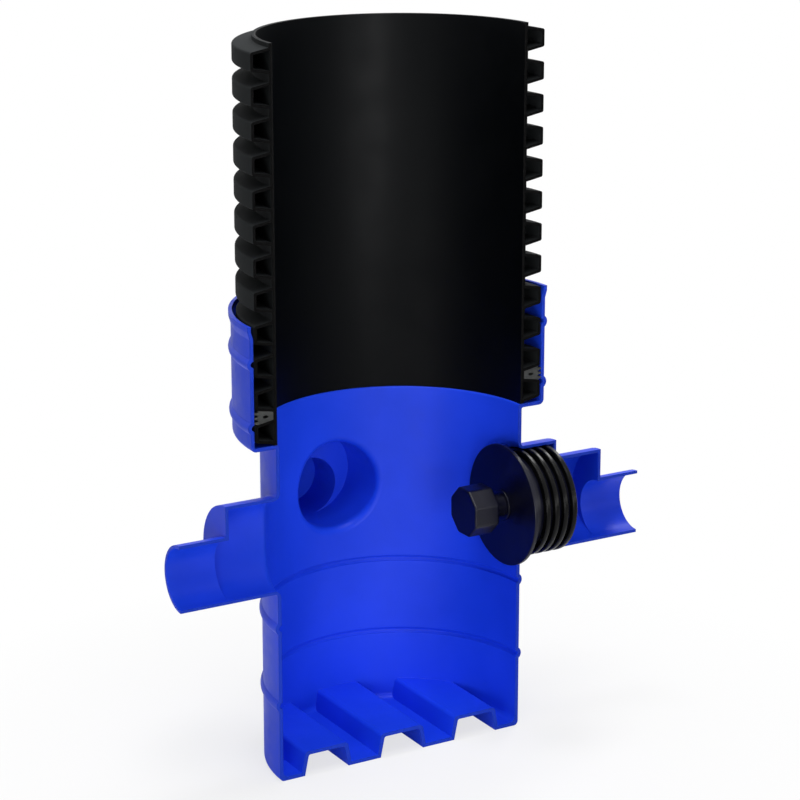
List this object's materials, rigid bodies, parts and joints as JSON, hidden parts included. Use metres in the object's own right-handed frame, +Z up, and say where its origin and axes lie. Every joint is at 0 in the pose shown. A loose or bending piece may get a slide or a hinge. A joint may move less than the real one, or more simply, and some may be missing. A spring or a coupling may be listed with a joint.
{
  "type": "flow control chamber",
  "caption": "Sectioned surface water flow control chamber: stepped pipe stubs, twin wall riser in a sealed socket, and a ringed plug with a pull knob in the outlet.",
  "frame": {"origin": "on the chamber's upright axis, in the plane of the undersides of the feet", "axes": "+Z up along the chamber's axis, +X towards the outlet, +Y away from the cut face"},
  "size_m": [0.861, 0.4915, 1.1918],
  "materials": {
    "blue_polyethylene": "saturated blue rotational moulding, satin",
    "black_polyethylene": "black extruded polyethylene, satin",
    "seal_rubber": "dark grey rubber",
    "plug_plastic": "black moulded plastic, satin",
    "ring_rubber": "black rubber, satin",
    "stainless_steel": "plain"
  },
  "bodies": {
    "root": {"chamber_base": "blue_polyethylene", "riser_pipe": "black_polyethylene", "socket_seal": "seal_rubber", "plug_flange": "plug_plastic", "plug_drum": "plug_plastic", "plug_spindle": "plug_plastic", "spindle_collar": "plug_plastic", "pull_knob": "plug_plastic", "rear_washer": "stainless_steel", "rear_nut": "stainless_steel", "ring_seal_1": "ring_rubber", "ring_seal_2": "ring_rubber", "ring_seal_3": "ring_rubber", "ring_seal_4": "ring_rubber"}
  },
  "joints": []
}
